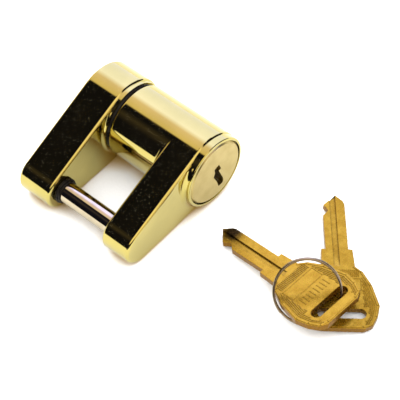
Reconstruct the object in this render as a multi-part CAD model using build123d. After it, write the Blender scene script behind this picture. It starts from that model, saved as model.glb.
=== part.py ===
from build123d import *
from math import acos, cos, degrees, radians, sin, sqrt
import os

# Trailer coupler lock lying flat, with its two keys on a split ring. Millimetres.
# Origin: middle of the gap between the arms, on the shackle pin's axis.
# +X: along the pin and the barrel, towards the keyed face. +Y: from the pin to the barrel.
# +Z: up, with the lock on its flat side.

# Driving dimensions of the castings
PIN_RADIUS = 6.35 / 2
LATCH_GAP = 20.8
SLIDING_ARM_WIDTH = 12.0
FIXED_ARM_WIDTH = 10.0
BARREL_RADIUS = 11.6
COLLAR_RADIUS = 11.3
HEAD_RADIUS = 12.1
TIP_RADIUS = 6.2
AXIS_SPACING = 29.5
COLLAR_LENGTH = 2.1
BOSS_LENGTH = 0.9
JOINT_GAP = 1.0
EDGE_RADIUS = 0.9
RIM_RADIUS = 0.4
FLARE_RADIUS = 1.5

# Driving dimensions of the mechanism
STEM_RADIUS = 5.0
NECK_RADIUS = 3.3
CAVITY_RADIUS = 9.6
PLUG_RADIUS = 8.3
FACE_RADIUS = 10.2
FACE_THICKNESS = 1.4
FACE_PROUD = 0.15
FACE_BEVEL = 0.5
FACE_GAP = 0.3
BOLT_TRAVEL = 1.6
QUARTER_TURN = 90
WAFER_COUNT = 6
WAFER_PITCH = 2.4
WAFER_THICKNESS = 1.1
WAFER_TRAVEL = 0.5

# Clearances: moving pieces, seated pieces, and cuts that run out past a face
RUNNING = 0.05
SEATED = 0.02
LOOSE = 0.2
OVERCUT = 1.0

# Driving dimensions of the keys and the ring
KEY_THICKNESS = 1.8
BLADE_WIDTH = 6.4
KEY_LENGTH = 45.9
HEAD_START = 25.2
HEAD_CORNER_RADIUS = 1.0
KEY_SLOT_MIDDLE = 41.0
KEY_SLOT_LENGTH = 13.4
KEY_SLOT_WIDTH = 3.2
GROOVE_DEPTH = 0.6
GROOVE_END = 21.5
CUTTER_RADIUS = 12.0
TOP_GROOVE = (-0.25, 1.7)
BACK_GROOVE = (1.75, 1.1)
RING_RADIUS = 9.15
WIRE_RADIUS = 0.375
COIL_CLEARANCE = 0.012

# Places worked out from them
FLOOR_Z = -TIP_RADIUS
BARREL_Z = HEAD_RADIUS - TIP_RADIUS
BARREL_Y = sqrt(AXIS_SPACING**2 - BARREL_Z**2)
GAP_END = LATCH_GAP / 2
SLIDING_OUTER = -GAP_END - SLIDING_ARM_WIDTH
FIXED_OUTER = GAP_END + FIXED_ARM_WIDTH
BARREL_FRONT = FIXED_OUTER + COLLAR_LENGTH
BOSS_FACE = -GAP_END + BOSS_LENGTH
BARREL_REAR = BOSS_FACE + JOINT_GAP
BARREL_AXIS = Axis((0, BARREL_Y, BARREL_Z), (1, 0, 0))
PIN_AXIS = Axis((0, 0, 0), (1, 0, 0))

# Stations along the barrel, from the joint to the keyed face
CAVITY_REAR = BARREL_REAR + 2.1
GUIDE_FRONT = CAVITY_REAR + 4.9
CAM_REAR = GUIDE_FRONT + LOOSE
CAM_FRONT = CAM_REAR + 2.05
PLUG_REAR = CAM_FRONT + RUNNING
SLEEVE_REAR = PLUG_REAR + RUNNING
FACE_BACK = BARREL_FRONT + FACE_PROUD - FACE_THICKNESS
SLEEVE_FRONT = FACE_BACK - 0.3
KEYWAY_END = PLUG_REAR + 2.0
NECK_REAR = CAVITY_REAR + 1.4
NECK_FRONT = NECK_REAR + 2.0
STEM_END = GUIDE_FRONT - LOOSE
FIRST_WAFER = PLUG_REAR + 4.8

# Shackle pin: its full size shows between the rubber ring and the fixed arm, and its ends are stepped down
PIN_END_RADIUS = 3.0
PIN_SOCKET = SLIDING_OUTER + 3.0
PIN_SHOULDER = -GAP_END + 1.9
PIN_PILOT = GAP_END - 0.5
PIN_HOLE_END = FIXED_OUTER - 1.4
PIN_HOLE_PLAY = 0.075
LEAD = 0.6
SEAL_RADIUS = PIN_RADIUS + 0.8
SEAL_SPLIT = -GAP_END + 1.1
LIP_RADIUS = PIN_RADIUS + 0.45
LIP_END = PIN_SHOULDER - 0.1
SEAL_ROUNDING = 0.3

# Rubber ring in the boss
O_RING_RADIUS = 10.2
O_RING_TUBE = 0.88
O_RING_SEAT = 0.8

# Roll pins driven up from the flat underside
ROLL_PIN_RADIUS = 1.0
ROLL_PIN_STATIONS = (CAVITY_REAR + 2.4, SLEEVE_REAR + 1.65)
ROLL_PIN_BOTTOM = BARREL_Z - BARREL_RADIUS + 0.3
ROLL_PIN_TOP = BARREL_Z - PLUG_RADIUS - LOOSE
STEM_SOCKET = SLIDING_OUTER + 2.0
STEM_PIN_RADIUS = 1.25
STEM_PIN_X = SLIDING_OUTER + 6.4
STEM_PIN_BOTTOM = FLOOR_Z + 0.5
STEM_PIN_TOP = BARREL_Z + 3.8

# Where things sit round the barrel's axis, as (Y, Z) from it
KEYWAY = [(1.5, 2.3), (-0.5, 1.8), (-0.35, 0.25), (-1.05, -1.25), (0.1, -4.0), (0.75, -6.8),
          (2.45, -6.7), (2.8, -5.9), (2.7, -4.55), (1.9, -2.2), (1.25, -0.2), (2.2, -0.1)]
WAFER_Y = (-2.2, 4.2)
WAFER_Z = (-6.6, 6.6)
WINDOW_Y = (-0.5, 2.6)
WINDOW_Z = (-5.6, 1.2)
LUG_Y = (-3.8, WAFER_Y[0])
LUG_HEIGHT = 1.2
LUG_BOTTOM = 1.5
LUG_PLAY = 0.1
SPRING_Y = -3.0
SPRING_LENGTH = 4.0
SPRING_TURNS = 6
COIL_RADIUS = 0.42
SPRING_WIRE = 0.2
FOLLOWER_RADIUS = 0.8
FOLLOWER_SUNK = 1.2
FOLLOWER_DRAWN = 7.6
CHANNEL_DEPTH = CAVITY_RADIUS - 0.6

# Cam, its screw and the bolt
CAM_RADIUS = CAVITY_RADIUS - 0.3
TAIL_LENGTH = 0.6
TAIL_HALF = 2.5
SCREW_RADIUS = 1.2
SCREW_HEAD = 2.2
SCREW_TIP = KEYWAY_END - LOOSE
SCREW_SLOT_HALF = 0.3
SCREW_SLOT_DEPTH = 0.5
BOLT_HALF_WIDTH = 3.5
BOLT_REAR = NECK_REAR + 0.1
BOLT_TOE = NECK_FRONT - NECK_REAR - LOOSE
BOLT_TOP = 8.8
BOLT_HEEL = STEM_RADIUS + BOLT_TRAVEL + 0.15

# Keys: position of the tip, then turn about Z, slope along the blade and roll about it
KEY_POSES = {
    "key_front": ((32.09, 19.68, -4.57), -2.7, -7.2, -2.5),
    "key_rear": ((48.31, 49.60, -5.00), -47.9, -1.7, -6.3),
}

# Split ring: centre, the direction its cross axis points, then that axis's rise and the ring's tilt
RING_CENTRE = (66.12, 16.49, 1.48)
RING_HEADING = 45.4
RING_RISE = 5.7
RING_TILT = 48.5


def across(x, y=0.0, z=0.0):
    """Plane square to X: its own x runs along Y and its own y runs along Z."""
    return Plane(origin=(x, y, z), x_dir=(0, 1, 0), z_dir=(1, 0, 0))


def barrel_disc(radius, start, end):
    """Cylinder on the barrel's axis between two stations."""
    return extrude(across(start, BARREL_Y, BARREL_Z) * Circle(radius), amount=end - start)


def pin_disc(radius, start, end):
    """Cylinder on the shackle pin's axis between two stations."""
    return extrude(across(start) * Circle(radius), amount=end - start)


def barrel_box(start, end, y_range, z_range):
    """Block placed from the barrel's axis."""
    size = (end - start, y_range[1] - y_range[0], z_range[1] - z_range[0])
    middle = ((start + end) / 2, sum(y_range) / 2 + BARREL_Y, sum(z_range) / 2 + BARREL_Z)
    return Pos(*middle) * Box(*size)


def turned(points, axis=BARREL_AXIS):
    """Ring or shaft turned on an axis from (station, radius) corners."""
    origin = axis.position
    plane = Plane(origin=(0, origin.Y, origin.Z), x_dir=(1, 0, 0), z_dir=(0, 0, 1))
    return revolve(plane * Polygon(*points, align=None), axis=axis)


def upright(radius, x, y, bottom, top):
    """Vertical cylinder between two heights."""
    return extrude(Plane((x, y, bottom)) * Circle(radius), amount=top - bottom)


def roll_pin(radius, x, y, bottom, top):
    """Slit spring pin standing upright."""
    pin = upright(radius, x, y, bottom, top) - upright(radius * 0.55, x, y, bottom, top)
    slit = Box(radius, radius * 0.35, top - bottom, align=(Align.MIN, Align.CENTER, Align.MIN))
    return pin - Pos(x + radius * 0.3, y, bottom) * slit


def arm_outline(head_radius):
    """Teardrop of an arm: a head circle and a tip circle joined by their tangents."""
    head = Vector(BARREL_Y, BARREL_Z)
    tip = Vector(0, 0)
    along = (tip - head) / AXIS_SPACING
    opening = degrees(acos((head_radius - TIP_RADIUS) / AXIS_SPACING))
    upper = along.rotate(Axis.Z, -opening)
    lower = along.rotate(Axis.Z, opening)
    outline = Line(head + upper * head_radius, tip + upper * TIP_RADIUS)
    outline += ThreePointArc(tip + upper * TIP_RADIUS, tip + along * TIP_RADIUS, tip + lower * TIP_RADIUS)
    outline += Line(tip + lower * TIP_RADIUS, head + lower * head_radius)
    outline += ThreePointArc(head + lower * head_radius, head - along * head_radius, head + upper * head_radius)
    return make_face(outline)


def arm_prism(head_radius, start, end):
    """Arm with rounded edges."""
    prism = extrude(across(start) * arm_outline(head_radius), amount=end - start)
    ends = prism.faces().sort_by(Axis.X)
    return fillet(ends[0].edges() + ends[-1].edges(), EDGE_RADIUS)


def flare(head_radius, neck_radius, station, reach):
    """Concave fillet where a round collar leaves an arm's flat side face."""
    size = abs(reach)
    wall = Line((station, neck_radius), (station + reach, neck_radius))
    foot = Line((station, neck_radius), (station, neck_radius + size))
    bend = 1 - sin(radians(45))
    middle = (station + reach * bend, neck_radius + size * bend)
    hollow = ThreePointArc((station + reach, neck_radius), middle, (station, neck_radius + size))
    plane = Plane(origin=(0, BARREL_Y, BARREL_Z), x_dir=(1, 0, 0), z_dir=(0, 0, 1))
    ring = revolve(plane * make_face(wall + hollow + foot), axis=BARREL_AXIS)
    flat = offset(arm_outline(head_radius), -EDGE_RADIUS)
    return ring & extrude(across(station) * flat, amount=reach)


def lock_body():
    """Fixed arm and barrel in one casting, bored for the mechanism."""
    barrel = barrel_disc(BARREL_RADIUS, BARREL_REAR, FIXED_OUTER - EDGE_RADIUS)
    barrel = fillet(barrel.edges().group_by(Axis.X)[0], EDGE_RADIUS)
    collar = barrel_disc(COLLAR_RADIUS, GAP_END, BARREL_FRONT)
    collar = fillet(collar.edges().group_by(Axis.X)[-1], RIM_RADIUS)
    body = barrel + collar + arm_prism(BARREL_RADIUS, GAP_END, FIXED_OUTER)
    body += flare(BARREL_RADIUS, COLLAR_RADIUS, FIXED_OUTER, FLARE_RADIUS)
    body += flare(BARREL_RADIUS, BARREL_RADIUS, GAP_END, -FLARE_RADIUS)
    body -= barrel_disc(STEM_RADIUS + RUNNING, BARREL_REAR, CAVITY_REAR)
    body -= barrel_disc(CAVITY_RADIUS, CAVITY_REAR, BARREL_FRONT)
    body -= barrel_disc(FACE_RADIUS + FACE_GAP, SLEEVE_FRONT + RUNNING, BARREL_FRONT)
    body -= pin_disc(PIN_END_RADIUS + PIN_HOLE_PLAY, GAP_END, PIN_HOLE_END)
    for x in ROLL_PIN_STATIONS:
        body -= upright(ROLL_PIN_RADIUS + SEATED, x, BARREL_Y, FLOOR_Z - OVERCUT, BARREL_Z - PLUG_RADIUS)
    return body


def sliding_arm():
    """Moving arm with the low boss that faces the barrel."""
    arm = arm_prism(HEAD_RADIUS, SLIDING_OUTER, -GAP_END)
    arm += barrel_disc(BARREL_RADIUS, SLIDING_OUTER + EDGE_RADIUS, BOSS_FACE)
    arm += flare(HEAD_RADIUS, BARREL_RADIUS, -GAP_END, BOSS_LENGTH)
    arm -= barrel_disc(STEM_RADIUS + SEATED, STEM_SOCKET, BOSS_FACE)
    groove_floor = BOSS_FACE - O_RING_SEAT
    groove = barrel_disc(O_RING_RADIUS + O_RING_TUBE, groove_floor, BOSS_FACE)
    arm -= groove - barrel_disc(O_RING_RADIUS - O_RING_TUBE, groove_floor, BOSS_FACE)
    arm -= pin_disc(PIN_END_RADIUS + SEATED, PIN_SOCKET, -GAP_END)
    return arm - upright(STEM_PIN_RADIUS + SEATED, STEM_PIN_X, BARREL_Y, FLOOR_Z - OVERCUT, STEM_PIN_TOP)


def shackle_pin():
    """Hardened pin: a stepped-down root in the sliding arm and a pilot for the fixed arm's blind hole."""
    start = PIN_SOCKET + SEATED
    end = PIN_HOLE_END - 0.4
    corners = [(start, 0), (start, PIN_END_RADIUS), (PIN_SHOULDER, PIN_END_RADIUS), (PIN_SHOULDER, PIN_RADIUS),
               (PIN_PILOT, PIN_RADIUS), (PIN_PILOT, PIN_END_RADIUS), (end - LEAD, PIN_END_RADIUS),
               (end, PIN_END_RADIUS - LEAD), (end, 0)]
    return turned(corners, PIN_AXIS)


def pin_o_ring():
    """Rubber ring between the sliding arm and the pin's shoulder, with a lower second lip."""
    ring = pin_disc(SEAL_RADIUS, -GAP_END + SEATED, SEAL_SPLIT)
    ring = fillet(ring.edges().filter_by(GeomType.CIRCLE), SEAL_ROUNDING)
    lip = pin_disc(LIP_RADIUS, SEAL_SPLIT - 2 * SEAL_ROUNDING, LIP_END)
    lip = fillet(lip.edges().filter_by(GeomType.CIRCLE), SEAL_ROUNDING)
    return ring + lip - pin_disc(PIN_END_RADIUS + SEATED, -GAP_END, PIN_SHOULDER)


def barrel_o_ring():
    """Rubber ring in the boss's groove, closing the joint to the barrel."""
    centre = BOSS_FACE - O_RING_SEAT + O_RING_TUBE
    return across(centre, BARREL_Y, BARREL_Z) * Torus(O_RING_RADIUS, O_RING_TUBE)


def locking_stem():
    """Stem with the waisted neck that the bolt enters."""
    start = STEM_SOCKET + SEATED
    corners = [(start, 0), (start, STEM_RADIUS), (NECK_REAR, STEM_RADIUS), (NECK_REAR, NECK_RADIUS),
               (NECK_FRONT, NECK_RADIUS), (NECK_FRONT, STEM_RADIUS), (STEM_END - LEAD, STEM_RADIUS),
               (STEM_END, STEM_RADIUS - LEAD), (STEM_END, 0)]
    hole = upright(STEM_PIN_RADIUS + SEATED, STEM_PIN_X, BARREL_Y, FLOOR_Z, STEM_PIN_TOP)
    return turned(corners) - hole


def stem_roll_pin():
    """Pin that holds the stem in the sliding arm."""
    return roll_pin(STEM_PIN_RADIUS, STEM_PIN_X, BARREL_Y, STEM_PIN_BOTTOM, STEM_PIN_TOP - LOOSE)


def body_roll_pins():
    """Two pins that hold the bolt guide and the cylinder sleeve in the barrel."""
    pins = [roll_pin(ROLL_PIN_RADIUS, x, BARREL_Y, ROLL_PIN_BOTTOM, ROLL_PIN_TOP) for x in ROLL_PIN_STATIONS]
    return Compound(pins)


def wafer_station(index):
    """Middle of a wafer along the barrel."""
    return FIRST_WAFER + index * WAFER_PITCH


def cylinder_sleeve():
    """Fixed sleeve round the plug, with a channel above and below for the wafers."""
    sleeve = barrel_disc(CAVITY_RADIUS - RUNNING, SLEEVE_REAR, SLEEVE_FRONT)
    sleeve -= barrel_disc(PLUG_RADIUS + RUNNING, SLEEVE_REAR, SLEEVE_FRONT)
    side = (WAFER_Y[0] - RUNNING, WAFER_Y[1] + RUNNING)
    start = wafer_station(0) - WAFER_THICKNESS
    end = wafer_station(WAFER_COUNT - 1) + WAFER_THICKNESS
    sleeve -= barrel_box(start, end, side, (-CHANNEL_DEPTH, CHANNEL_DEPTH))
    hole_top = BARREL_Z - PLUG_RADIUS + OVERCUT
    return sleeve - upright(ROLL_PIN_RADIUS + SEATED, ROLL_PIN_STATIONS[1], BARREL_Y, FLOOR_Z, hole_top)


def keyway(start, end):
    """Wavy slot for the key."""
    return extrude(across(start, BARREL_Y, BARREL_Z) * Polygon(*KEYWAY, align=None), amount=end - start)


def lug_range(side, clearance=0.0, travel=0.0):
    """Heights of a wafer's spring lug; side is 1 for the upper wafers and -1 for the lower."""
    low = LUG_BOTTOM - travel - clearance
    high = LUG_BOTTOM + LUG_HEIGHT + clearance
    return tuple(sorted((side * low, side * high)))


def wafer_side(index):
    """1 for a wafer that springs upwards and -1 for one that springs downwards."""
    return 1 if index % 2 == 0 else -1


def lock_plug():
    """Turning plug with the keyway, the wafer slots, the spring pockets and a square tail."""
    plug = barrel_disc(PLUG_RADIUS, PLUG_REAR, FACE_BACK - SEATED)
    plug += barrel_box(PLUG_REAR - TAIL_LENGTH, PLUG_REAR, (-TAIL_HALF, TAIL_HALF), (-TAIL_HALF, TAIL_HALF))
    plug -= keyway(KEYWAY_END, FACE_BACK)
    half = WAFER_THICKNESS / 2 + RUNNING
    for index in range(WAFER_COUNT):
        side = wafer_side(index)
        x = wafer_station(index)
        slot_y = (WAFER_Y[0] - RUNNING, WAFER_Y[1] + RUNNING)
        plug -= barrel_box(x - half, x + half, slot_y, (-CAVITY_RADIUS, CAVITY_RADIUS))
        lug_y = (LUG_Y[0] - RUNNING, LUG_Y[1])
        plug -= barrel_box(x - half, x + half, lug_y, lug_range(side, LUG_PLAY, WAFER_TRAVEL))
        low, high = sorted((side * LUG_BOTTOM, side * (LUG_BOTTOM - SPRING_LENGTH)))
        plug -= upright(half, x, BARREL_Y + SPRING_Y, BARREL_Z + low, BARREL_Z + high)
    return plug - barrel_disc(SCREW_RADIUS + SEATED, PLUG_REAR - TAIL_LENGTH, SCREW_TIP + SEATED)


def plug_face():
    """Round bevelled face plate on the front of the plug."""
    plate = barrel_disc(FACE_RADIUS, FACE_BACK, FACE_BACK + FACE_THICKNESS)
    plate = chamfer(plate.edges().group_by(Axis.X)[-1], FACE_BEVEL)
    return plate - keyway(FACE_BACK, FACE_BACK + FACE_THICKNESS)


def face_seal():
    """Thin rubber ring seen round the edge of the face plate."""
    start = SLEEVE_FRONT + RUNNING + SEATED
    ring = barrel_disc(FACE_RADIUS + FACE_GAP - RUNNING, start, FACE_BACK - RUNNING)
    return ring - barrel_disc(PLUG_RADIUS + RUNNING, start, FACE_BACK)


def wafer(index):
    """Flat tumbler with a window for the blade and a lug over its spring."""
    x = wafer_station(index)
    start = x - WAFER_THICKNESS / 2
    end = x + WAFER_THICKNESS / 2
    plate = barrel_box(start, end, WAFER_Y, WAFER_Z)
    plate += barrel_box(start, end, LUG_Y, lug_range(wafer_side(index)))
    return plate - barrel_box(start, end, WINDOW_Y, WINDOW_Z)


def wafer_spring(index):
    """Coil spring of square wire in its pocket, drawn as short as its wafer can press it."""
    side = wafer_side(index)
    height = SPRING_LENGTH - WAFER_TRAVEL - SPRING_WIRE - 2 * LUG_PLAY
    top = side * (LUG_BOTTOM - WAFER_TRAVEL - LUG_PLAY - SPRING_WIRE / 2)
    low = min(top, top - side * height)
    path = Helix(pitch=height / SPRING_TURNS, height=height, radius=COIL_RADIUS)
    section = Plane(origin=path @ 0, z_dir=path % 0) * Rectangle(SPRING_WIRE, SPRING_WIRE)
    coil = sweep(section, path=path, is_frenet=True)
    return Pos(wafer_station(index), BARREL_Y + SPRING_Y, BARREL_Z + low) * coil


def bank(make, first):
    """Every second piece of the row of wafers or springs."""
    return Compound([make(index) for index in range(first, WAFER_COUNT, 2)])


def spiral_point(turn, aside=0.0):
    """Point of the cam's slot, for a turn of the plug in degrees and a distance off its middle."""
    radius = FOLLOWER_DRAWN - BOLT_TRAVEL * turn / QUARTER_TURN + aside
    angle = radians(90 - turn)
    return (radius * cos(angle), radius * sin(angle))


def spiral_slot():
    """Face of the cam's slot, whose middle comes nearer the axis in step with the turn."""
    half = FOLLOWER_RADIUS + 1.5 * RUNNING
    spare = 1
    span = QUARTER_TURN + 2 * spare
    turns = [-spare + span * step / 8 for step in range(9)]
    outer = Spline([spiral_point(turn, half) for turn in turns])
    inner = Spline([spiral_point(turn, -half) for turn in turns])
    round_start = degrees(half / FOLLOWER_DRAWN)
    round_end = degrees(half / (FOLLOWER_DRAWN - BOLT_TRAVEL))
    first = ThreePointArc(inner @ 0, spiral_point(turns[0] - round_start), outer @ 0)
    last = ThreePointArc(inner @ 1, spiral_point(turns[-1] + round_end), outer @ 1)
    return make_face(outer + last + inner + first)


def bolt_cam():
    """Disc on the plug's tail; its spiral slot moves the bolt evenly as the plug turns."""
    cam = barrel_disc(CAM_RADIUS, CAM_REAR, CAM_FRONT)
    middle = across((CAM_REAR + CAM_FRONT) / 2, BARREL_Y, BARREL_Z)
    cam -= extrude(middle * spiral_slot(), amount=CAM_FRONT - CAM_REAR, both=True)
    fit = TAIL_HALF + RUNNING
    cam -= barrel_box(PLUG_REAR - TAIL_LENGTH - RUNNING, CAM_FRONT, (-fit, fit), (-fit, fit))
    return cam - screw_shape(SEATED)


def screw_shape(clearance):
    """Countersunk screw body, or its hole when given a clearance."""
    head = SCREW_HEAD + clearance
    shank = SCREW_RADIUS + clearance
    sink = CAM_REAR + SCREW_HEAD - SCREW_RADIUS
    corners = [(CAM_REAR, 0), (CAM_REAR, head), (sink, shank), (SCREW_TIP, shank), (SCREW_TIP, 0)]
    return turned(corners)


def cam_screw():
    """Countersunk screw that fastens the cam to the plug."""
    width = (-SCREW_HEAD, SCREW_HEAD)
    slot = barrel_box(CAM_REAR, CAM_REAR + SCREW_SLOT_DEPTH, width, (-SCREW_SLOT_HALF, SCREW_SLOT_HALF))
    return screw_shape(0) - slot


def bolt_guide():
    """Fixed disc round the stem's end, with the track that the bolt slides in."""
    guide = barrel_disc(CAVITY_RADIUS - RUNNING, CAVITY_REAR + RUNNING, GUIDE_FRONT)
    guide -= barrel_disc(STEM_RADIUS + RUNNING, CAVITY_REAR, GUIDE_FRONT)
    half = BOLT_HALF_WIDTH + RUNNING
    guide -= barrel_box(BOLT_REAR - RUNNING, GUIDE_FRONT, (-half, half), (0, CAVITY_RADIUS))
    hole_top = BARREL_Z - PLUG_RADIUS + LOOSE
    return guide - upright(ROLL_PIN_RADIUS + SEATED, ROLL_PIN_STATIONS[0], BARREL_Y, FLOOR_Z, hole_top)


def locking_bolt():
    """Radial bolt, drawn clear of the stem: a thin toe below a thick heel."""
    width = (-BOLT_HALF_WIDTH, BOLT_HALF_WIDTH)
    toe = barrel_box(BOLT_REAR, BOLT_REAR + BOLT_TOE, width, (0, BOLT_TOP))
    heel = barrel_box(BOLT_REAR, GUIDE_FRONT - RUNNING, width, (BOLT_HEEL, BOLT_TOP))
    bolt = toe + heel - barrel_disc(STEM_RADIUS + 2 * RUNNING, BOLT_REAR, GUIDE_FRONT)
    return bolt - follower_pin(SEATED)


def follower_pin(clearance):
    """Pin from the bolt's heel into the cam's slot, or its hole when given a clearance."""
    start = GUIDE_FRONT - FOLLOWER_SUNK
    middle = across(start, BARREL_Y, BARREL_Z + FOLLOWER_DRAWN)
    return extrude(middle * Circle(FOLLOWER_RADIUS + clearance), amount=CAM_FRONT - LOOSE - start)


def key_outline():
    """Blade, shoulders and broad head of a key, with its tip at the origin."""
    half_blade = BLADE_WIDTH / 2
    upper = [(0.0, 0.7), (2.1, 2.8), (3.2, half_blade), (19.3, half_blade), (19.3, 4.4), (HEAD_START, 4.7),
             (27.0, 6.8), (31.5, 9.0), (38.2, 10.6), (41.8, 9.8), (44.7, 8.3), (KEY_LENGTH, 6.0)]
    lower = [(s, -t) for s, t in reversed(upper[2:])]
    hook = [(7.5, -half_blade), (5.6, -1.6), (3.6, -2.9), (1.9, -1.2)]
    return Polygon(*upper, *lower[:-1], *hook, align=None)


def blade_groove(middle_and_width, side):
    """Milled groove along one face of the blade, ending in the round run-out of its cutter."""
    middle, width = middle_and_width
    floor = KEY_THICKNESS / 2 - GROOVE_DEPTH
    length = GROOVE_END + OVERCUT
    depth = GROOVE_DEPTH + OVERCUT
    trench = Pos(GROOVE_END - length / 2, middle, side * (floor + depth / 2)) * Box(length, width, depth)
    cutter = Rot(90, 0, 0) * Cylinder(CUTTER_RADIUS, width)
    return trench + Pos(GROOVE_END, middle, side * (floor + CUTTER_RADIUS)) * cutter


def key():
    """Flat key with a slotted head and a groove along each face of the blade."""
    blank = extrude(key_outline(), amount=KEY_THICKNESS / 2, both=True)
    corners = blank.edges().filter_by(Axis.Z).filter_by_position(Axis.X, HEAD_START + 0.5, KEY_LENGTH)
    blank = fillet(corners, HEAD_CORNER_RADIUS)
    outline = Pos(KEY_SLOT_MIDDLE, 0) * Rot(0, 0, 90) * SlotOverall(KEY_SLOT_LENGTH, KEY_SLOT_WIDTH)
    blank -= extrude(outline, amount=KEY_THICKNESS, both=True)
    return blank - blade_groove(TOP_GROOVE, 1) - blade_groove(BACK_GROOVE, -1)


def placed_key(name):
    """Key at its place on the ring."""
    position, heading, slope, roll = KEY_POSES[name]
    return Pos(*position) * Rot(0, 0, heading) * Rot(0, slope, 0) * Rot(roll, 0, 0) * key()


def split_ring():
    """Ring of two turns of wire, joined by a short slanting step."""
    half_pitch = WIRE_RADIUS + COIL_CLEARANCE
    step_from = 210
    step_to = 250
    sweep_angle = 360 - (step_to - step_from)
    first = Pos(0, 0, -half_pitch) * CenterArc((0, 0), RING_RADIUS, step_to, sweep_angle)
    second = Pos(0, 0, half_pitch) * CenterArc((0, 0), RING_RADIUS, step_to, sweep_angle)
    middle_angle = radians((step_from + step_to) / 2)
    middle = (RING_RADIUS * cos(middle_angle), RING_RADIUS * sin(middle_angle), 0)
    step = Spline([first @ 1, middle, second @ 0], tangents=[first % 1, second % 0])
    path = Wire([first.edge(), step.edge(), second.edge()])
    ring = sweep(Plane(origin=path @ 0, z_dir=path % 0) * Circle(WIRE_RADIUS), path=path)
    return Pos(*RING_CENTRE) * Rot(0, 0, RING_HEADING) * Rot(0, -RING_RISE, 0) * Rot(RING_TILT, 0, 0) * ring


NODES = {
    "lock_body": lock_body(),
    "sliding_arm": sliding_arm(),
    "shackle_pin": shackle_pin(),
    "pin_o_ring": pin_o_ring(),
    "barrel_o_ring": barrel_o_ring(),
    "locking_stem": locking_stem(),
    "stem_roll_pin": stem_roll_pin(),
    "body_roll_pins": body_roll_pins(),
    "cylinder_sleeve": cylinder_sleeve(),
    "lock_plug": lock_plug(),
    "plug_face": plug_face(),
    "face_seal": face_seal(),
    "wafers_upper": bank(wafer, 0),
    "wafers_lower": bank(wafer, 1),
    "wafer_springs_upper": bank(wafer_spring, 0),
    "wafer_springs_lower": bank(wafer_spring, 1),
    "bolt_cam": bolt_cam(),
    "cam_screw": cam_screw(),
    "bolt_guide": bolt_guide(),
    "locking_bolt": locking_bolt(),
    "bolt_follower": follower_pin(0),
    "key_front": placed_key("key_front"),
    "key_rear": placed_key("key_rear"),
    "split_ring": split_ring(),
}

os.makedirs("parts", exist_ok=True)
for name, shape in NODES.items():
    export_step(shape, f"parts/{name}.step")
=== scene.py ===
import math

import bmesh
import bpy
from mathutils import Matrix, Vector


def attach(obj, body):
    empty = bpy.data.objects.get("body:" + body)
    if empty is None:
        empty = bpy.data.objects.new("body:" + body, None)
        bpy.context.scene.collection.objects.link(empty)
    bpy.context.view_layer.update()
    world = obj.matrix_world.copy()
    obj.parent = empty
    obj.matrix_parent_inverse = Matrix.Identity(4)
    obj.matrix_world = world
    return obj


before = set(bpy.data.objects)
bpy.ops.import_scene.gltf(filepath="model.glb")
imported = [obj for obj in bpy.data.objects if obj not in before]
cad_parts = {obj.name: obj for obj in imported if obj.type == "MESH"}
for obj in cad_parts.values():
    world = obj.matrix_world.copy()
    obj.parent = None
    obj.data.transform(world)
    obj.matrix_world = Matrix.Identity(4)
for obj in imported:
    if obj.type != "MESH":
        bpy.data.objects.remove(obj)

# Trailer coupler lock lying on its flat side, with its two keys on a split ring.
# Everything is in metres in the CAD frame; MM turns millimetres into metres.
MM = 0.001
bpy.context.view_layer.update()

# Camera
CAMERA_PLACE = (217.08, -171.85, 364.28)
CAMERA_AZIMUTH = 45.44
CAMERA_ELEVATION = 53.14
CAMERA_ROLL = -4.83
CAMERA_LENS = 144.69
CAMERA_SHIFT = (0.0122, 0.01295)

# Studio
FLOOR_Z = -6.2
FLOOR_SIZE = 4000
FLOOR_COLOUR = (0.86, 0.86, 0.86)
FLOOR_IN_METAL = (0.65, 0.65, 0.64)
# Painted shadow on the floor near the lock: colour, occlusion reach in mm and the x span where it fades out
PAINTED_FLOOR_SHADOW = (0.50, 0.31, 0.07)
PAINTED_SHADOW_REACH = 7
PAINTED_SHADOW_END = (24, 30)
LAMP_TO = (-0.30, 0.45, 0.84)
LAMP = 3.0
LOW_LIGHT = (0.34, 0.24, 0.10)
SIDE_PANEL = (1.7, 1.45, 1.2)
FLAG = (0.03, 0.025, 0.03)
DARK_SIDE = (0.01, 0.01, 0.02)
# Colour that metal reflects above the floor, from the front (-1) to behind the lock (1).
# It is set to match the look of the plating and doesn't light the scene.
BACKDROP = [
    (-0.7, DARK_SIDE),
    (-0.5, (0.06, 0.05, 0.05)),
    (-0.3, DARK_SIDE),
    (-0.12, DARK_SIDE),
    (-0.06, (1.2, 1.0, 0.7)),
    (0.3, (1.3, 1.1, 1.2)),
    (0.5, (1.8, 1.9, 3.5)),
    (1.0, (1.5, 1.6, 2.6)),
]

# Keys, in each key's own frame: x from the tip to the head, y across, z through the thickness
KEY_PLACES = {
    "key_front": ((32.09, 19.68, -4.57), (-2.7, -7.2, -2.5)),
    "key_rear": ((48.31, 49.60, -5.00), (-47.9, -1.7, -6.3)),
}
KEY_HALF = 0.9
KEY_EDGE = 0.14
KEY_END = 45.9
HEAD_HALF = [(25.2, 4.7), (27.0, 6.8), (31.5, 9.0), (38.2, 10.6), (41.8, 9.8), (44.7, 8.3), (45.9, 6.0)]
PANEL_X = (29.3, 33.2)
PANEL_HALF = 5.9
PANEL_WALL = 0.32
RELIEF_SUNK = 0.05
RIB_PITCH = 0.54
RIB_WIDTH = 0.5
RIB_HEIGHT = 0.11
RIB_X = (26.3, 28.7)
RIB_STEPS = 40
RIM_WIDTH = 0.7
RIM_HEIGHT = 0.14
RIM_INSET = 0.6
SLOT_X = (38.8, 43.2)
SLOT_HALF = 7.4
BAR_X = (34.3, 37.0)
BAR_PITCH = 1.35
BAR_COUNT = 8

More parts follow.
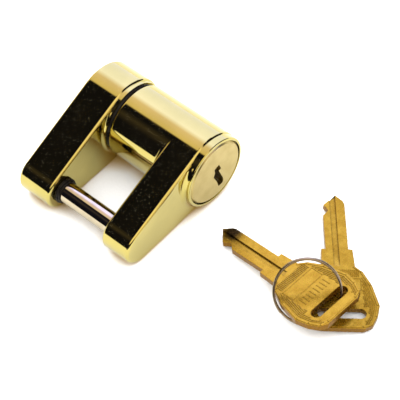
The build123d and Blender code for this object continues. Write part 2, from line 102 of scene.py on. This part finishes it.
# Colours, each pair being the two tones that a finish drifts between, and finish values
PLATING = ((0.51, 0.425, 0.115), (0.55, 0.455, 0.125))
PLATING_ROUGHNESS = 0.055
PLATING_COAT = 0.35
COAT_ROUGHNESS = 0.05
DUST = (0.62, 0.58, 0.42)
DUST_SHARE = 0.34
DUST_STRENGTH = 0.15
SATIN = ((0.52, 0.41, 0.155), (0.47, 0.365, 0.13))
SATIN_STAIN = (0.28, 0.19, 0.08)
ROLLED = ((0.45, 0.262, 0.018), (0.37, 0.202, 0.010))
ROLLED_SPECK = (0.24, 0.13, 0.012)
PAINTED_HOLLOW_SHADE = (0.09, 0.042, 0.004)
# Painted shade colour for the keys' side walls
PAINTED_WALL_SHADE = (0.21, 0.098, 0.006)
# Painted shade of the keys' hollows: occlusion reach in mm and strength, fine then broad
PAINTED_SHADE_REACHES = ((0.3, 0.45), (2.2, 0.6))
# Darkened end of the front key: its colour, centre in the key's frame and fade-out reach in mm
TIP_DARK = (0.015, 0.008, 0.004)
TIP_DARK_CENTRE = (3.2, 1.6)
TIP_DARK_REACH = (2.4, 5.2)
BLACK = ((0.005, 0.004, 0.003), (0.010, 0.008, 0.006))


class Graph:
    """Short way to write a node tree."""

    def __init__(self, tree):
        self.tree = tree
        tree.nodes.clear()

    def add(self, kind, inputs=None, **settings):
        """Adds a node, sets its options, then links or sets its inputs."""
        node = self.tree.nodes.new(kind)
        for key, value in settings.items():
            setattr(node, key, value)
        for key, value in (inputs or {}).items():
            if isinstance(value, bpy.types.NodeSocket):
                self.tree.links.new(value, node.inputs[key])
            else:
                node.inputs[key].default_value = value
        return node

    def math(self, operation, a, b=0.0):
        """Result of a math node."""
        node = self.add("ShaderNodeMath", {0: a, 1: b}, operation=operation)
        return node.outputs[0]

    def ramp(self, value, low, high, start=0.0, end=1.0, smooth=True):
        """Value mapped from low..high to start..end."""
        kind = "SMOOTHSTEP" if smooth else "LINEAR"
        inputs = {"Value": value, "From Min": low, "From Max": high, "To Min": start, "To Max": end}
        return self.add("ShaderNodeMapRange", inputs, interpolation_type=kind).outputs[0]

    def mix(self, factor, a, b):
        """Colour between a and b."""
        node = self.add("ShaderNodeMix", data_type="RGBA")
        for key, value in ((0, factor), (6, a), (7, b)):
            if isinstance(value, bpy.types.NodeSocket):
                self.tree.links.new(value, node.inputs[key])
            else:
                node.inputs[key].default_value = value
        return node.outputs[2]

    def noise(self, place, size_mm, detail=2.0, roughness=0.5):
        """Noise whose blobs are about size_mm across."""
        inputs = {"Vector": place, "Scale": 1 / (size_mm * MM), "Detail": detail, "Roughness": roughness}
        return self.add("ShaderNodeTexNoise", inputs).outputs[0]

    def specks(self, place, spacing_mm, radius, share):
        """Mask of small round specks; share is the part of the cells that holds one."""
        cells = self.add("ShaderNodeTexVoronoi", {"Vector": place, "Scale": 1 / (spacing_mm * MM)})
        dot = self.ramp(cells.outputs["Distance"], radius * 0.6, radius, 1.0, 0.0)
        pick = self.add("ShaderNodeSeparateColor", {"Color": cells.outputs["Color"]}).outputs[0]
        return self.math("MULTIPLY", dot, self.math("LESS_THAN", pick, share))

    def scratches(self, place, angle, width_mm, length_mm, level):
        """Mask of fine straight scratches."""
        stretch = (1, width_mm / length_mm, 1)
        inputs = {"Vector": place, "Rotation": angle, "Scale": stretch}
        turned = self.add("ShaderNodeMapping", inputs)
        lines = self.noise(turned.outputs[0], width_mm, 1.0)
        return self.ramp(lines, level, level + 0.04)


def rgba(colour):
    """Colour with full alpha."""
    return (*colour, 1.0)


def new_material(name):
    """Empty node material and its graph, with the place of each point as the texture space."""
    material = bpy.data.materials.new(name)
    material.use_nodes = True
    graph = Graph(material.node_tree)
    place = graph.add("ShaderNodeTexCoord").outputs["Object"]
    return material, graph, place


def finish_material(material, graph, shader):
    """Joins the last shader to the output."""
    graph.add("ShaderNodeOutputMaterial", {"Surface": shader})
    return material


def bump(graph, height, strength, distance_mm):
    """Normal from a height."""
    inputs = {"Height": height, "Strength": strength, "Distance": distance_mm * MM}
    return graph.add("ShaderNodeBump", inputs).outputs[0]


def metal(graph, colour, roughness, normal=None, coat=0.0):
    """Principled metal."""
    inputs = {
        "Base Color": colour,
        "Metallic": 1.0,
        "Roughness": roughness,
        "Coat Weight": coat,
        "Coat Roughness": COAT_ROUGHNESS,
    }
    if normal is not None:
        inputs["Normal"] = normal
    return graph.add("ShaderNodeBsdfPrincipled", inputs).outputs[0]


def dusted(graph, place, shader, share, colour):
    """Fine dust lying on the surfaces that face up."""
    normal = graph.add("ShaderNodeNewGeometry").outputs["Normal"]
    up = graph.add("ShaderNodeSeparateXYZ", {"Vector": normal}).outputs[2]
    facing = graph.ramp(up, 0.2, 0.7)
    fine = graph.specks(place, 0.45, 0.22, share)
    coarse = graph.specks(place, 1.6, 0.12, share * 0.6)
    mask = graph.math("MULTIPLY", graph.math("MAXIMUM", fine, coarse), facing)
    dust = graph.add("ShaderNodeBsdfDiffuse", {"Color": rgba(colour), "Roughness": 0.8}).outputs[0]
    thin = graph.math("MULTIPLY", mask, DUST_STRENGTH)
    return graph.add("ShaderNodeMixShader", {0: thin, 1: shader, 2: dust}).outputs[0]


def plated_brass():
    """Mirror brass plating with smudges, hairline scratches and dust."""
    material, graph, place = new_material("plated_brass")
    tone = graph.noise(place, 9.0, 3.0)
    colour = graph.mix(graph.ramp(tone, 0.35, 0.65), rgba(PLATING[0]), rgba(PLATING[1]))
    smudge = graph.ramp(graph.noise(place, 5.0, 4.0, 0.6), 0.4, 0.75)
    first = graph.scratches(place, (0.3, 0.2, 0.9), 0.12, 9.0, 0.72)
    second = graph.scratches(place, (0.1, 0.5, 2.2), 0.1, 7.0, 0.74)
    marks = graph.math("MAXIMUM", first, second)
    inputs = {0: smudge, 1: 0.05, 2: PLATING_ROUGHNESS}
    roughness = graph.add("ShaderNodeMath", inputs, operation="MULTIPLY_ADD").outputs[0]
    roughness = graph.math("ADD", roughness, graph.math("MULTIPLY", marks, 0.12))
    peel = graph.noise(place, 1.6, 2.0)
    height = graph.math("SUBTRACT", graph.math("MULTIPLY", peel, 0.12), graph.math("MULTIPLY", marks, 0.1))
    normal = bump(graph, height, 0.25, 0.02)
    shader = metal(graph, colour, roughness, normal, PLATING_COAT)
    shader = dusted(graph, place, shader, DUST_SHARE, DUST)
    return finish_material(material, graph, shader)


def satin_brass():
    """Fine-ground brass of the keyed face."""
    material, graph, place = new_material("satin_face")
    blotch = graph.ramp(graph.noise(place, 4.5, 3.0, 0.5), 0.3, 0.75)
    colour = graph.mix(blotch, rgba(SATIN[0]), rgba(SATIN[1]))
    stains = graph.specks(place, 2.4, 0.16, 0.3)
    colour = graph.mix(graph.math("MULTIPLY", stains, 0.5), colour, rgba(SATIN_STAIN))
    grain = graph.noise(place, 0.14, 2.0)
    roughness = graph.ramp(blotch, 0.0, 1.0, 0.30, 0.40)
    normal = bump(graph, grain, 0.25, 0.02)
    return finish_material(material, graph, metal(graph, colour, roughness, normal))


def key_brass(name, tip=None):
    """Rolled brass of the keys, with painted shade in the recesses, between the keys and on the side walls;
    tip is the point near which a key's end is painted dark.
    """
    material, graph, place = new_material(name)
    patch = graph.ramp(graph.noise(place, 3.0, 4.0, 0.6), 0.38, 0.68)
    colour = graph.mix(patch, rgba(ROLLED[0]), rgba(ROLLED[1]))
    specks = graph.specks(place, 0.8, 0.2, 0.25)
    colour = graph.mix(graph.math("MULTIPLY", specks, 0.45), colour, rgba(ROLLED_SPECK))
    # Painted shade: the colour darkens where ambient occlusion finds nearby surfaces, in the relief and
    # where the keys lie close.
    for reach, strength in PAINTED_SHADE_REACHES:
        nearby_occlusion = graph.add("ShaderNodeAmbientOcclusion", {"Distance": reach * MM}, samples=8).outputs["AO"]
        shade = graph.math("MULTIPLY", graph.ramp(nearby_occlusion, 0.35, 0.95, 1.0, 0.0), strength)
        colour = graph.mix(shade, colour, rgba(PAINTED_HOLLOW_SHADE))
    normal = graph.add("ShaderNodeNewGeometry").outputs["Normal"]
    level = graph.math("ABSOLUTE", graph.add("ShaderNodeSeparateXYZ", {"Vector": normal}).outputs[2])
    # Painted shade: faces tilted away from the key's flat sides take the darker wall colour.
    colour = graph.mix(graph.ramp(level, 0.35, 0.85), rgba(PAINTED_WALL_SHADE), colour)
    roughness = graph.ramp(graph.noise(place, 1.1, 3.0), 0.3, 0.7, 0.20, 0.32)
    if tip is not None:
        # The end of the front key is painted dark around the given centre, with a wobbly edge.
        away = graph.add("ShaderNodeVectorMath", {0: place, 1: tip}, operation="DISTANCE").outputs["Value"]
        wobble = graph.math("MULTIPLY", graph.noise(place, 1.5, 3.0), 2.5 * MM)
        distance = graph.math("ADD", away, wobble)
        tip_darkness = graph.ramp(distance, TIP_DARK_REACH[0] * MM, TIP_DARK_REACH[1] * MM, 1.0, 0.0)
        colour = graph.mix(graph.math("MULTIPLY", tip_darkness, 0.93), colour, rgba(TIP_DARK))
    marks = graph.scratches(place, (0.0, 0.0, 1.0), 0.1, 5.0, 0.7)
    grain = graph.math("SUBTRACT", graph.noise(place, 0.18, 2.0), marks)
    normal = bump(graph, grain, 0.3, 0.02)
    inputs = {"Base Color": colour, "Metallic": 0.86, "Roughness": roughness, "Normal": normal}
    return finish_material(material, graph, graph.add("ShaderNodeBsdfPrincipled", inputs).outputs[0])


def bright_metal(name, colour, roughness):
    """Polished or plated metal with faint smudges."""
    material, graph, place = new_material(name)
    smudge = graph.ramp(graph.noise(place, 2.5, 4.0, 0.6), 0.4, 0.75)
    darker = tuple(0.82 * part for part in colour)
    tint = graph.mix(smudge, rgba(colour), rgba(darker))
    marks = graph.scratches(place, (0.2, 0.0, 0.4), 0.08, 4.0, 0.7)
    spread = graph.math("MULTIPLY", graph.math("ADD", smudge, marks), roughness)
    rough = graph.math("ADD", spread, roughness)
    normal = bump(graph, graph.math("SUBTRACT", graph.noise(place, 0.3, 2.0), marks), 0.1, 0.02)
    return finish_material(material, graph, metal(graph, tint, rough, normal))


def cast_metal(name, colour, roughness):
    """Machined or cast metal with a grainy surface."""
    material, graph, place = new_material(name)
    tone = graph.ramp(graph.noise(place, 1.8, 4.0, 0.6), 0.35, 0.7)
    darker = tuple(0.72 * part for part in colour)
    tint = graph.mix(tone, rgba(colour), rgba(darker))
    grain = graph.noise(place, 0.15, 3.0)
    rough = graph.ramp(grain, 0.3, 0.7, roughness * 0.85, roughness * 1.15)
    return finish_material(material, graph, metal(graph, tint, rough, bump(graph, grain, 0.35, 0.03)))


def rubber():
    """Black rubber with a moulded sheen."""
    material, graph, place = new_material("black_rubber")
    tone = graph.ramp(graph.noise(place, 1.2, 3.0), 0.35, 0.7)
    colour = graph.mix(tone, rgba(BLACK[0]), rgba(BLACK[1]))
    grain = graph.noise(place, 0.1, 2.0)
    inputs = {
        "Base Color": colour,
        "Roughness": graph.ramp(grain, 0.3, 0.7, 0.16, 0.26),
        "Specular IOR Level": 0.12,
        "Normal": bump(graph, grain, 0.2, 0.02),
    }
    return finish_material(material, graph, graph.add("ShaderNodeBsdfPrincipled", inputs).outputs[0])


def floor_material():
    """Matt white paper, with a golden-brown shadow painted around the lock where other surfaces are close.
    """
    material, graph, place = new_material("white_paper")
    fibre = graph.noise(place, 0.6, 3.0)
    lighter = tuple(min(1.0, 1.03 * part) for part in FLOOR_COLOUR)
    colour = graph.mix(graph.ramp(fibre, 0.3, 0.7), rgba(FLOOR_COLOUR), rgba(lighter))
    glossy = graph.add("ShaderNodeLightPath").outputs["Is Glossy Ray"]
    colour = graph.mix(glossy, colour, rgba(FLOOR_IN_METAL))
    # Painted shadow: near the lock the paper turns golden brown where ambient occlusion finds close
    # surfaces.
    reach = {"Distance": PAINTED_SHADOW_REACH * MM}
    open_sky = graph.add("ShaderNodeAmbientOcclusion", reach, samples=12).outputs["AO"]
    along = graph.add("ShaderNodeSeparateXYZ", {"Vector": place}).outputs[0]
    beside = graph.ramp(along, PAINTED_SHADOW_END[0] * MM, PAINTED_SHADOW_END[1] * MM, 1.0, 0.0)
    shade = graph.math("MULTIPLY", graph.ramp(open_sky, 0.16, 0.62, 1.0, 0.0), beside)
    colour = graph.mix(shade, colour, rgba(PAINTED_FLOOR_SHADOW))
    inputs = {"Base Color": colour, "Roughness": 0.95, "Specular IOR Level": 0.1}
    return finish_material(material, graph, graph.add("ShaderNodeBsdfPrincipled", inputs).outputs[0])


def paint(name, material):
    """Gives a CAD node its material."""
    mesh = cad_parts[name].data
    mesh.materials.clear()
    mesh.materials.append(material)


def soften(name, width_mm):
    """Rounds a node's machined edges a little, so that they catch the light."""
    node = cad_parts[name]
    node.modifiers.new("weld", "WELD").merge_threshold = 0.002 * MM
    flat = node.modifiers.new("flat", "DECIMATE")
    flat.decimate_type = "DISSOLVE"
    flat.angle_limit = math.radians(0.8)
    edge = node.modifiers.new("edge", "BEVEL")
    edge.width = width_mm * MM
    edge.segments = 2
    edge.limit_method = "ANGLE"
    edge.angle_limit = math.radians(32)
    edge.harden_normals = True
    node.modifiers.new("shade", "WEIGHTED_NORMAL").keep_sharp = True


def key_matrix(name):
    """Placement of a key."""
    position, turns = KEY_PLACES[name]
    matrix = Matrix.Translation(Vector(position) * MM)
    for turn, axis in zip(turns, "ZYX"):
        matrix = matrix @ Matrix.Rotation(math.radians(turn), 4, axis)
    return matrix


def head_half_width(x):
    """Half width of a key's head at a distance from the tip."""
    for (x0, y0), (x1, y1) in zip(HEAD_HALF, HEAD_HALF[1:]):
        if x0 <= x <= x1:
            return y0 + (y1 - y0) * (x - x0) / (x1 - x0)
    return 0.0


def add_ridge(mesh, start, end, profile, base, side):
    """Low ridge between two points of a key's face, with bevelled ends."""
    start, end = Vector(start), Vector(end)
    along = (end - start).normalized()
    aside = Vector((-along.y, along.x))
    rows = []
    for point, way in ((start, 1), (end, -1)):
        row = []
        for offset, lift in profile:
            spot = point + aside * offset + along * (way * max(lift, 0.0))
            row.append(mesh.verts.new((spot.x * MM, spot.y * MM, side * (base + lift) * MM)))
        rows.append(row)
    for index in range(len(profile) - 1):
        mesh.faces.new((rows[0][index], rows[0][index + 1], rows[1][index + 1], rows[1][index]))
    mesh.faces.new(rows[0][::-1])
    mesh.faces.new(rows[1])
    mesh.faces.new((rows[0][0], rows[1][0], rows[1][-1], rows[0][-1]))


def ridge_profile(width, height, crown):
    """Section of a ridge with sloping flanks; crown is the flat share of its width."""
    foot = width / 2
    top = crown * foot
    middle = (foot + top) / 2
    half = [(foot, -RELIEF_SUNK), (middle, 0.5 * height), (top, height)]
    return [(-offset, lift) for offset, lift in half] + half[::-1]


def side_ribs(way):
    """Fine ribs that follow one side of the head, outside the panel and the slot."""
    ribs = []
    corners = [(RIB_X[0], head_half_width(RIB_X[0]))] + [point for point in HEAD_HALF if point[0] > RIB_X[0]]
    corners[-1] = (KEY_END - RIM_INSET - RIM_WIDTH, head_half_width(KEY_END - RIM_INSET - RIM_WIDTH))
    for (x0, y0), (x1, y1) in zip(corners, corners[1:]):
        for index in range(1, 12):
            inset = RIM_INSET + RIM_WIDTH / 2 + index * RIB_PITCH
            run = []
            for step in range(RIB_STEPS + 1):
                x = x0 + (x1 - x0) * step / RIB_STEPS
                y = y0 + (y1 - y0) * step / RIB_STEPS - inset
                if y > (SLOT_HALF if SLOT_X[0] < x < SLOT_X[1] else PANEL_HALF + PANEL_WALL):
                    run.append((x, way * y))
            if len(run) > 1:
                ribs.append((run[0], run[-1]))
    return ribs


def key_relief(name, body, material):
    """Ribs, rim and the frame of the plain panel on both faces of a key's head."""
    mesh = bmesh.new()
    rib = ridge_profile(RIB_WIDTH, RIB_HEIGHT, 0.15)
    rim = ridge_profile(RIM_WIDTH, RIM_HEIGHT, 0.6)
    bar = ridge_profile(PANEL_WALL, RIB_HEIGHT, 0.4)
    ribs = side_ribs(1) + side_ribs(-1)
    count = int(PANEL_HALF / RIB_PITCH)
    for index in range(-count, count + 1):
        ribs.append(((RIB_X[0], index * RIB_PITCH), (RIB_X[1], index * RIB_PITCH)))
    near, far = PANEL_X
    low, high = -PANEL_HALF, PANEL_HALF
    corners = [(near, low), (far, low), (far, high), (near, high), (near, low)]
    bars = list(zip(corners, corners[1:]))
    for index in range(BAR_COUNT):
        y = (index - (BAR_COUNT - 1) / 2) * BAR_PITCH
        bars.append(((BAR_X[0], y), (BAR_X[1], y)))
    outline = [(x - RIM_INSET * (x == KEY_END), y - RIM_INSET) for x, y in HEAD_HALF]
    outline += [(x, -y) for x, y in reversed(outline)]
    edges = list(zip(outline, outline[1:]))
    for side in (1, -1):
        for lines, profile in ((ribs, rib), (edges, rim), (bars, bar)):
            for start, end in lines:
                add_ridge(mesh, start, end, profile, KEY_HALF, side)
    bmesh.ops.recalc_face_normals(mesh, faces=mesh.faces)
    data = bpy.data.meshes.new(name)
    mesh.to_mesh(data)
    mesh.free()
    data.materials.append(material)
    relief = bpy.data.objects.new(name, data)
    bpy.context.scene.collection.objects.link(relief)
    relief.matrix_world = key_matrix(body)
    return relief


def make_world():
    """A soft dome lights everything; metal reflects a separate map, dark in front and bright behind."""
    world = bpy.data.worlds.new("studio")
    bpy.context.scene.world = world
    world.use_nodes = True
    world.cycles.sampling_method = "NONE"
    graph = Graph(world.node_tree)
    direction = graph.add("ShaderNodeTexCoord").outputs["Generated"]
    split = graph.add("ShaderNodeSeparateXYZ", {"Vector": direction})
    aside, behind, up = split.outputs
    ramp = graph.add("ShaderNodeValToRGB", {"Fac": graph.ramp(behind, -1.0, 1.0, smooth=False)})
    stops = ramp.color_ramp.elements
    while len(stops) < len(BACKDROP):
        stops.new(0.5)
    for stop, (place, colour) in zip(stops, BACKDROP):
        stop.position = (place + 1) / 2
        stop.color = rgba(colour)
    across = graph.math("MULTIPLY", graph.ramp(aside, -0.24, -0.06), graph.ramp(aside, 0.62, 0.85, 1.0, 0.0))
    flag = graph.math("MULTIPLY", across, graph.ramp(behind, 0.16, 0.26))
    reflected = graph.mix(flag, ramp.outputs[0], rgba(FLAG))
    panel = graph.math("MULTIPLY", graph.ramp(aside, -0.10, 0.22), graph.ramp(up, 0.42, 0.55))
    panel = graph.math("MULTIPLY", panel, graph.ramp(behind, 0.04, 0.14, 1.0, 0.0))
    reflected = graph.mix(panel, reflected, rgba(SIDE_PANEL))
    towards = graph.add("ShaderNodeVectorMath", {0: direction, 1: LAMP_TO}, operation="DOT_PRODUCT")
    level = graph.ramp(towards.outputs["Value"], -0.3, 1.0, 0.5 * LAMP, 1.15 * LAMP)
    grey = graph.add("ShaderNodeCombineColor", {0: level, 1: level, 2: level}).outputs[0]
    lamp = graph.mix(graph.ramp(up, 0.10, 0.50), rgba(LOW_LIGHT), grey)
    glossy = graph.add("ShaderNodeLightPath").outputs["Is Glossy Ray"]
    light = graph.add("ShaderNodeBackground", {"Color": graph.mix(glossy, lamp, reflected)}).outputs[0]
    graph.add("ShaderNodeOutputWorld", {"Surface": light})


def make_floor():
    """Sheet that the lock and the keys lie on."""
    mesh = bmesh.new()
    bmesh.ops.create_grid(mesh, x_segments=1, y_segments=1, size=FLOOR_SIZE * MM / 2)
    data = bpy.data.meshes.new("floor")
    mesh.to_mesh(data)
    mesh.free()
    data.materials.append(floor_material())
    floor = bpy.data.objects.new("floor", data)
    floor.location.z = FLOOR_Z * MM
    bpy.context.scene.collection.objects.link(floor)


def make_camera():
    """Camera looking down at the lock's keyed end, with the keys in front of it."""
    azimuth = math.radians(CAMERA_AZIMUTH)
    elevation = math.radians(CAMERA_ELEVATION)
    level = math.cos(elevation)
    back = Vector((math.sin(azimuth) * level, -math.cos(azimuth) * level, math.sin(elevation)))
    right = Vector((math.cos(azimuth), math.sin(azimuth), 0.0))
    up = back.cross(right)
    matrix = Matrix((right, up, back)).transposed().to_4x4()
    matrix = matrix @ Matrix.Rotation(math.radians(CAMERA_ROLL), 4, "Z")
    data = bpy.data.cameras.new("camera")
    data.lens = CAMERA_LENS
    data.sensor_width = 36.0
    data.shift_x, data.shift_y = CAMERA_SHIFT
    data.clip_start = 0.01
    camera = bpy.data.objects.new("camera", data)
    bpy.context.scene.collection.objects.link(camera)
    camera.matrix_world = Matrix.Translation(Vector(CAMERA_PLACE) * MM) @ matrix
    bpy.context.scene.camera = camera


BRASS = plated_brass()
FACE = satin_brass()
TIP = key_matrix("key_front") @ (Vector((*TIP_DARK_CENTRE, KEY_HALF)) * MM)
KEY_FRONT = key_brass("key_brass_dark_tip", TIP)
KEY_REAR = key_brass("key_brass_plain")
CHROME = bright_metal("chrome_pin", (0.57, 0.485, 0.33), 0.035)
RING_STEEL = bright_metal("ring_steel", (0.33, 0.26, 0.165), 0.08)
STEEL = cast_metal("machined_steel", (0.56, 0.50, 0.33), 0.32)
ZINC = cast_metal("cast_zinc", (0.62, 0.56, 0.38), 0.42)
TUMBLER = cast_metal("wafer_brass", (0.70, 0.52, 0.22), 0.3)
RUBBER = rubber()

FINISHES = {
    "lock_body": BRASS,
    "sliding_arm": BRASS,
    "plug_face": FACE,
    "key_front": KEY_FRONT,
    "key_rear": KEY_REAR,
    "shackle_pin": CHROME,
    "split_ring": RING_STEEL,
    "pin_o_ring": RUBBER,
    "barrel_o_ring": RUBBER,
    "face_seal": RUBBER,
    "wafers_upper": TUMBLER,
    "wafers_lower": TUMBLER,
    "cylinder_sleeve": ZINC,
    "lock_plug": ZINC,
    "bolt_guide": ZINC,
}
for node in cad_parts:
    paint(node, FINISHES.get(node, STEEL))

for node in KEY_PLACES:
    soften(node, KEY_EDGE)

for key, body, finish in (("key_front", "front_key", KEY_FRONT), ("key_rear", "rear_key", KEY_REAR)):
    relief = key_relief(key + "_relief", key, finish)
    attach(relief, body)

make_world()
make_floor()
make_camera()
bpy.context.scene.view_settings.view_transform = "Standard"

bpy.context.view_layer.update()
